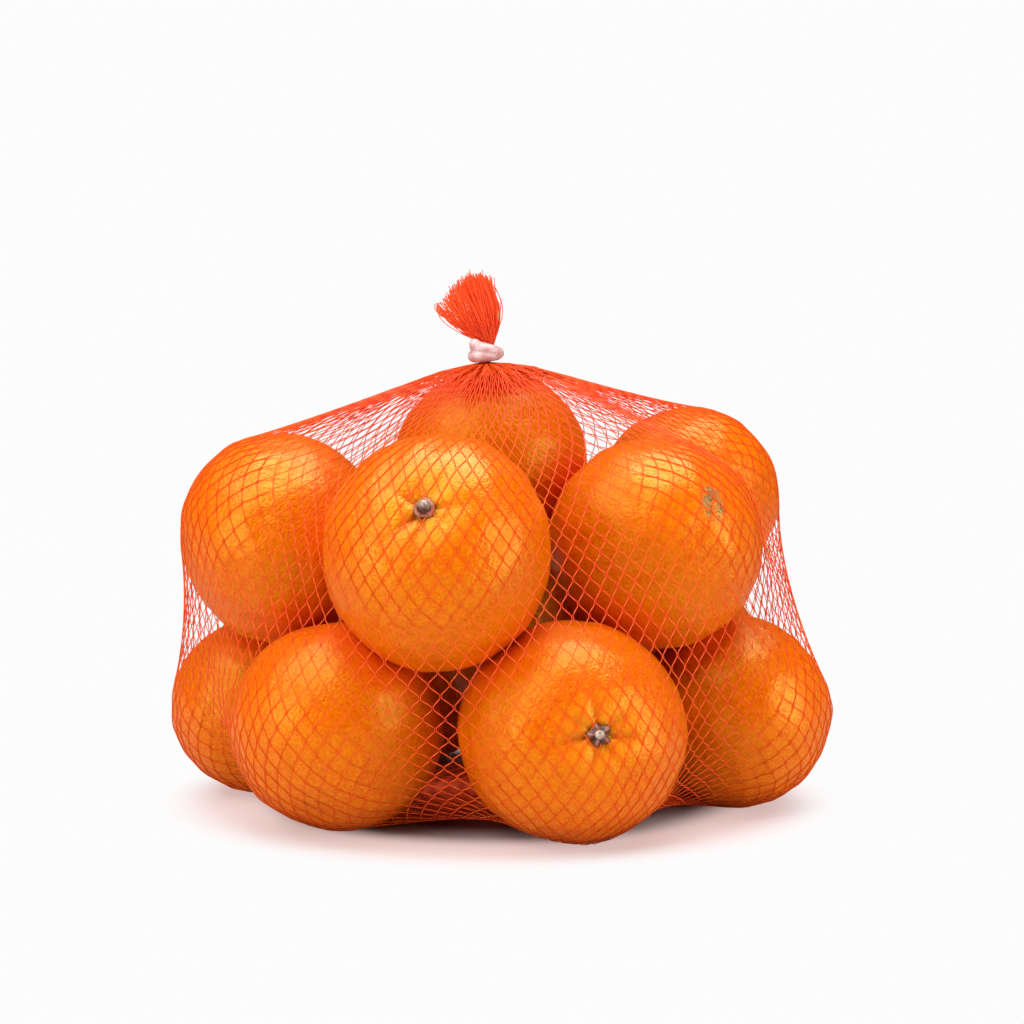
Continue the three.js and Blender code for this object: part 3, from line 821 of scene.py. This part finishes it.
def fold_paths(strands):
    """Paths of the crowded net's folds, which lie under the strands from the neck out and dip in between."""
    draw = np.random.default_rng(FOLD_SEED)
    along = np.linspace(0, 1, FOLD_POINTS)
    paths = []
    for _ in range(FOLDS):
        over = strands[draw.integers(len(strands)), -2::-1] - np.array((NECK["x"], NECK["y"], 0))
        far = np.maximum.accumulate(np.hypot(over[:, 0], over[:, 1])) + np.arange(len(over)) * LEAST_STEP
        place = NECK["radius"] + draw.uniform(*FOLD_REACH) * along
        x, y, z = (np.interp(place, far, over[:, axis]) for axis in range(3))
        twist = FOLD_TWIST_AT_NECK + (1 - FOLD_TWIST_AT_NECK) * along
        turn = draw.uniform(-FOLD_TWIST, FOLD_TWIST) * twist
        dip = draw.uniform(*FOLD_DROP) * np.sin(math.pi * along ** FOLD_DEEPEST_NEAR_NECK)
        dip += FOLD_END_DROP * along
        turned = (x * np.cos(turn) - y * np.sin(turn), x * np.sin(turn) + y * np.cos(turn))
        paths.append(np.stack((NECK["x"] + turned[0], NECK["y"] + turned[1], z - dip), axis=1))
    return np.array(paths)


knots = pleat_neck(settle_net())
paths, at_knot = strand_paths(knots)
flat_paths = paths.reshape(-1, 3)
for fruit in MANDARINS:
    lift_off_peel(flat_paths, fruit, STRAND_THICKNESS * STRANDS_OFF_PEEL)
flat_paths[:, 2] = np.maximum(flat_paths[:, 2], STRAND_THICKNESS / 2)
paths = flat_paths.reshape(paths.shape)
strand = net_finish("net_strand", NET_GLOW)
for panel, columns in enumerate(np.array_split(np.arange(len(paths)), NET_PANELS)):
    piece = add_strands("net_panel_%d" % (panel + 1), paths[columns], at_knot[columns], strand)
    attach(piece, "root")
    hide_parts("net_pack")
folds = fold_paths(paths)
flat_folds = folds.reshape(-1, 3)
for fruit in MANDARINS:
    lift_off_peel(flat_folds, fruit, STRAND_THICKNESS)
fold_knots = FOLD_REDNESS * np.ones(folds.shape[:2])
folds = add_strands("net_folds", flat_folds.reshape(folds.shape), fold_knots, strand)
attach(folds, "root")
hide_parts("net_pack")


# Tail: the cut end of the same net above the tie. Its strands fan up and to the left, thick in the middle
# and loose at the edges, with ragged ends.
TAIL_LEFT = dict(bend=(-7.6, 4.6), tip=(-14.8, 12.4))
TAIL_RIGHT = dict(bend=(3.9, 7.6), tip=(1.7, 20.6))
TAIL_BEND_AT = 0.5
TAIL_CROWN = 4.4
TAIL_RAGGED = 3.2
TAIL_DEPTH = 5.5
TAIL_THIN_EDGE = 0.1
TAIL_STRANDS = 400
TAIL_THICKNESS = 0.27
TAIL_GLOW = 0.45
TAIL_POINTS = 16
TAIL_SWAY = 0.7
TAIL_ROOT = dict(x=0.9, z=-1.6, radius=1.5)
TAIL_CROSSING = 0.06
TAIL_LOOSE = 0.1
TAIL_STRAY = 0.08
TAIL_STRAY_FROM = 0.6
TAIL_SPREAD = 1.2
TAIL_WAVES = (4, 9)
TAIL_REDDENS = 1.4
TAIL_SEED = 7


def tail_paths():
    """Paths from inside the tie out to the cut ends, spread from the left edge of the fan to its right."""
    draw = np.random.default_rng(TAIL_SEED)
    along = np.linspace(0, 1, TAIL_POINTS)[:, None]
    root_part = (1 - along) * (TAIL_BEND_AT - along) / TAIL_BEND_AT
    middle_part = along * (1 - along) / (TAIL_BEND_AT * (1 - TAIL_BEND_AT))
    end_part = along * (along - TAIL_BEND_AT) / (1 - TAIL_BEND_AT)
    ends = {part: (np.array(TAIL_LEFT[part]), np.array(TAIL_RIGHT[part])) for part in ("bend", "tip")}
    paths = []
    for _ in range(TAIL_STRANDS):
        share = draw.beta(TAIL_SPREAD, TAIL_SPREAD)
        if draw.uniform() < TAIL_LOOSE:
            share = draw.choice((-TAIL_STRAY, 1 + TAIL_STRAY)) * draw.uniform(TAIL_STRAY_FROM, 1)
        inwards = np.clip(TAIL_THIN_EDGE + (1 - 2 * TAIL_THIN_EDGE) * share, 0, 1)
        aside = TAIL_DEPTH * draw.uniform(-1, 1) * math.sin(math.pi * inwards)
        turn = draw.uniform(0, 2 * math.pi)
        inset = TAIL_ROOT["radius"] * draw.uniform(0, 1) ** 0.5
        foot = np.array((TAIL_ROOT["x"] + inset * math.cos(turn), inset * math.sin(turn), TAIL_ROOT["z"]))
        crossed = share + TAIL_CROSSING * draw.normal()
        bend = ends["bend"][0] * (1 - crossed) + ends["bend"][1] * crossed
        tip = ends["tip"][0] * (1 - share) + ends["tip"][1] * share
        rise = TAIL_CROWN * math.sin(math.pi * np.clip(share, 0, 1)) - TAIL_RAGGED * draw.uniform(0, 1)
        middle = np.array((bend[0], aside * TAIL_BEND_AT, bend[1]))
        end = np.array((tip[0], aside, tip[1] + rise))
        path = foot * root_part + middle * middle_part + end * end_part
        sway = TAIL_SWAY * np.sin(along * draw.uniform(*TAIL_WAVES) + draw.uniform(*WAVE_STARTS)) * along
        path += sway * draw.normal(size=3)
        paths.append(path + np.array((NECK["x"], NECK["y"], NECK["top"])))
    return np.array(paths)


tail_finish = net_finish("tail_strand", TAIL_GLOW)
redder = np.linspace(1, 0, TAIL_POINTS) ** TAIL_REDDENS * np.ones((TAIL_STRANDS, 1))
tail = add_strands("tail_strands", tail_paths(), redder, tail_finish, TAIL_THICKNESS)
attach(tail, "root")
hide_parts("net_tail")


# Tie: a soft milky plastic cord wound twice round the neck of the net, with its end pulled up on the left.
# The turns are pressed into each other, so that they look like one soft lump with creases.
TIE_CORD_RADIUS = 2.0
TIE_TURN_RADIUS = 3.7
TIE_TURNS = [
    dict(lift=2.4, tilt=-0.1, lean=0.05, shift=-0.4),
    dict(lift=4.0, tilt=0.27, lean=-0.06, shift=0.1),
]
TIE_LOBE = dict(at=(-3.7, -2.2, 5.9), wide=1.9, high=1.8)
TIE_AROUND = 64
TIE_SIDES = 24
TIE_LOBE_FINENESS = 4
TIE_VOXEL = 0.2
TIE_SOFTENING = 14
TIE_WHITE = (0.52, 0.38, 0.375, 1)
TIE_PINK = (0.46, 0.20, 0.19, 1)
TIE_PINK_SHARE = 0.75
TIE_PATCHES = dict(coarse=420, fine=1300)
TIE_ROUGHNESS = (0.28, 0.42)
TIE_MILKINESS = 0.5
TIE_MILK_RADIUS = (1.0, 0.5, 0.45)
TIE_MILK_DEPTH = 1.5
TIE_CREASES = dict(strength=0.25, depth=0.4)


def tie_finish():
    """Milky plastic that lets some of the red net show through."""
    finish, tree, shader, place = new_finish("tie_cord")
    coarse, fine = patchy_shares(tree, place, **TIE_PATCHES)
    colour = blend_colours(tree, times(tree, coarse, TIE_PINK_SHARE), TIE_WHITE, TIE_PINK)
    tree.links.new(colour, shader.inputs["Base Color"])
    tree.links.new(ease(tree, fine, 0, 1, *TIE_ROUGHNESS), shader.inputs["Roughness"])
    shader.inputs["Subsurface Weight"].default_value = TIE_MILKINESS
    shader.inputs["Subsurface Radius"].default_value = TIE_MILK_RADIUS
    shader.inputs["Subsurface Scale"].default_value = TIE_MILK_DEPTH * MM
    add_bump(tree, shader, coarse, **TIE_CREASES)
    return finish


def add_turn(form, lift, tilt, lean, shift):
    """One closed turn of the cord round the neck, leaned forwards and tilted sideways."""
    leaned = np.array(((1, 0, 0), (0, math.cos(lean), -math.sin(lean)), (0, math.sin(lean), math.cos(lean))))
    tilted = np.array(((math.cos(tilt), 0, math.sin(tilt)), (0, 1, 0), (-math.sin(tilt), 0, math.cos(tilt))))
    middle = np.array((NECK["x"] + shift, NECK["y"], NECK["foot"] + lift))
    corners = []
    for step in range(TIE_AROUND):
        angle = 2 * math.pi * step / TIE_AROUND
        for side in range(TIE_SIDES):
            section = 2 * math.pi * side / TIE_SIDES
            far = TIE_TURN_RADIUS + TIE_CORD_RADIUS * math.cos(section)
            up = TIE_CORD_RADIUS * math.sin(section)
            at = np.array((far * math.cos(angle), far * math.sin(angle), up))
            corners.append(form.verts.new((tilted @ leaned @ at + middle) * MM))
    for step in range(TIE_AROUND):
        here, there = step * TIE_SIDES, (step + 1) % TIE_AROUND * TIE_SIDES
        for side in range(TIE_SIDES):
            after = (side + 1) % TIE_SIDES
            around = (here + side, there + side, there + after, here + after)
            form.faces.new([corners[corner] for corner in around])


def tie_piece():
    """The two turns and the pulled-up end, melted together and softened."""
    form = bmesh.new()
    for turn in TIE_TURNS:
        add_turn(form, **turn)
    lobe = bmesh.ops.create_icosphere(form, subdivisions=TIE_LOBE_FINENESS, radius=1)["verts"]
    size = np.array((TIE_LOBE["wide"], TIE_LOBE["wide"], TIE_LOBE["high"]))
    middle = np.array(TIE_LOBE["at"]) + np.array((NECK["x"], NECK["y"], NECK["foot"]))
    for corner in lobe:
        corner.co = (np.array(corner.co) * size + middle) * MM
    mesh = bpy.data.meshes.new("neck_tie_cord")
    form.to_mesh(mesh)
    form.free()
    piece = add_object("neck_tie_cord", mesh)
    melt = piece.modifiers.new("melt", "REMESH")
    melt.mode = "VOXEL"
    melt.voxel_size = TIE_VOXEL * MM
    soften = piece.modifiers.new("soften", "SMOOTH")
    soften.iterations = TIE_SOFTENING
    apply_modifiers(piece)
    piece.data.shade_smooth()
    piece.data.materials.clear()
    piece.data.materials.append(tie_finish())
    return piece


tie = tie_piece()
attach(tie, "root")
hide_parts("neck_tie")


# Camera: the pack is seen from its front, from a little above its middle, through a long lens,
# which shows the fruit without much perspective.
VIEW_AIM = np.array((5, -17, 96.2))
VIEW_DISTANCE = 650
VIEW_RISE = math.radians(5.4)
VIEW_LENS = 71.6
VIEW_SENSOR = 36

camera = add_object("camera", bpy.data.cameras.new("camera"))
camera.data.lens = VIEW_LENS
camera.data.sensor_width = VIEW_SENSOR
back_and_up = np.array((0, -math.cos(VIEW_RISE), math.sin(VIEW_RISE)))
camera.location = (VIEW_AIM + VIEW_DISTANCE * back_and_up) * MM
camera.rotation_euler = (math.pi / 2 - VIEW_RISE, 0, 0)
bpy.context.scene.camera = camera


# Floor and light: a plain white floor that runs on into a white background, under a large soft light
# overhead, with a soft light low on either side and behind, and two smaller ones up on the left.
FLOOR_RADIUS = 3000
FLOOR_SIDES = 128
FLOOR_ROUGHNESS = 0.9
FLOOR_GLOSS = 0.1
PAINTED_SHADE_ENDS_AT = (0.45, 0.66)
SHADOW_LIFT = 0.42
SHADOW_LIFTS_AT = (0.6, 0.76)
SHADOW_ENDS_AT = (0.82, 1.06)
SHADOW_IN_FRONT = (0.06, 0.03)
SHADOW_ALL_ROUND_AT = (0.72, 0.95)
SHADOW_TINT = (1.0, 0.72, 0.68, 1)
SHADOW_GLOW = 1.36
FLOOR_PAINTED_SHADE_UNDER_PACK = (0.10, 0.016, 0.012, 1)
FLOOR_WHITE = (0.85, 0.845, 0.84, 1)
FLOOR_SEEN = (0.435, 0.435, 0.435, 1)
FLOOR_IN_SHINE = (0.2, 0.2, 0.2, 1)
BACKGROUND_WHITE = (0.975, 0.975, 0.975, 1)
ROUND_WHITE = (1, 1, 1, 1)
ROUND_LIGHT = 0.02
ROUND_LIGHT_IN_SHINE = 0.04
SOFT_LIGHTS = [
    dict(name="top_light", place=(90, 10, 1150), size=950, power=24),
    dict(name="top_left_light", place=(-620, -200, 900), size=600, power=5.6),
    dict(name="left_light", place=(-830, -640, 300), size=600, power=6),
    dict(name="right_light", place=(870, -450, 280), size=600, power=7.4),
    dict(name="key_light", place=(-420, -720, 900), size=500, power=5),
    dict(name="back_light", place=(-60, 1080, 330), size=900, power=9, shines=False),
]


def floor_finish():
    """Matt white with a soft shadow under the pack, a painted dark red shade right under it and painted
    pinkish light lifting the shadows round it, which turns into plain white brightness further out.
    """
    finish, tree, shader, place = new_finish("floor_white")
    shader.inputs["Roughness"].default_value = FLOOR_ROUGHNESS
    shader.inputs["Specular IOR Level"].default_value = FLOOR_GLOSS
    ray = add_node(tree, "ShaderNodeLightPath").outputs
    half_pack = tuple(2 / (end - start) for start, end in zip(cad_low, cad_high))
    in_packs = add_node(tree, "ShaderNodeVectorMath", {0: place, 1: half_pack}, operation="MULTIPLY")
    far = add_node(tree, "ShaderNodeVectorMath", {0: in_packs.outputs[0]}, operation="LENGTH")
    from_pack = far.outputs["Value"]
    depth = add_node(tree, "ShaderNodeSeparateXYZ", {"Vector": place}).outputs["Y"]
    in_front = ease(tree, depth, *SHADOW_IN_FRONT)
    all_round = ease(tree, from_pack, *SHADOW_ALL_ROUND_AT)
    in_light = add_node(tree, "ShaderNodeMath", {0: in_front, 1: all_round}, operation="MAXIMUM").outputs[0]
    out_of_painted_shade = times(tree, ease(tree, from_pack, *PAINTED_SHADE_ENDS_AT), in_light)
    white = blend_colours(tree, ray["Is Glossy Ray"], FLOOR_WHITE, FLOOR_IN_SHINE)
    white = blend_colours(tree, ray["Is Camera Ray"], white, FLOOR_SEEN)
    # Painted shade: the floor under the pack is dark red for every ray, standing in for the shade inside the
    # heap.
    white = blend_colours(tree, out_of_painted_shade, FLOOR_PAINTED_SHADE_UNDER_PACK, white)
    tree.links.new(white, shader.inputs["Base Color"])
    # Painted light: a pinkish emission, seen only by the camera, lifts the shadows round the pack like red
    # light thrown back from the fruit and net.
    lift = times(tree, ease(tree, from_pack, *SHADOW_LIFTS_AT, 0.0, SHADOW_LIFT), in_light)
    soft = add_node(tree, "ShaderNodeEmission", {"Color": SHADOW_TINT, "Strength": SHADOW_GLOW})
    lifted = mix_shaders(tree, times(tree, lift, ray["Is Camera Ray"]), shader, soft)
    glow = add_node(tree, "ShaderNodeEmission", {"Color": BACKGROUND_WHITE, "Strength": 1.0})
    past_shadow = times(tree, ease(tree, from_pack, *SHADOW_ENDS_AT), ray["Is Camera Ray"])
    mixed = mix_shaders(tree, past_shadow, lifted, glow)
    tree.links.new(mixed.outputs[0], tree.nodes["Material Output"].inputs["Surface"])
    return finish


def add_soft_light(name, place, size, power, shines=True):
    """A square soft light that faces the middle of the pack, and shows in the peel's gloss if it shines."""
    light = add_object(name, bpy.data.lights.new(name, "AREA"))
    light.data.energy = power
    light.data.size = size * MM
    light.location = np.array(place) * MM
    light.visible_glossy = shines
    aim = VIEW_AIM * MM - np.array(light.location)
    light.rotation_euler = Vector(aim).to_track_quat("-Z", "Y").to_euler()


floor_turn = np.arange(FLOOR_SIDES) / FLOOR_SIDES * 2 * math.pi
floor_rim = np.stack((np.cos(floor_turn), np.sin(floor_turn), 0 * floor_turn), axis=1) * FLOOR_RADIUS
floor = add_piece("floor", floor_rim, [tuple(range(FLOOR_SIDES))], floor_finish())
for soft in SOFT_LIGHTS:
    add_soft_light(**soft)

world = bpy.data.worlds.new("studio")
world.use_nodes = True
bpy.context.scene.world = world
sky = world.node_tree
seen = add_node(sky, "ShaderNodeBackground", {"Color": BACKGROUND_WHITE, "Strength": 1.0})
lit = sky.nodes["Background"]
lit.inputs["Color"].default_value = ROUND_WHITE
lit.inputs["Strength"].default_value = ROUND_LIGHT
shine = add_node(sky, "ShaderNodeBackground", {"Color": ROUND_WHITE, "Strength": ROUND_LIGHT_IN_SHINE})
ray = add_node(sky, "ShaderNodeLightPath").outputs
round_light = mix_shaders(sky, ray["Is Glossy Ray"], lit, shine)
either = mix_shaders(sky, ray["Is Camera Ray"], round_light, seen)
sky.links.new(either.outputs[0], sky.nodes["World Output"].inputs["Surface"])
bpy.context.scene.view_settings.view_transform = "Standard"
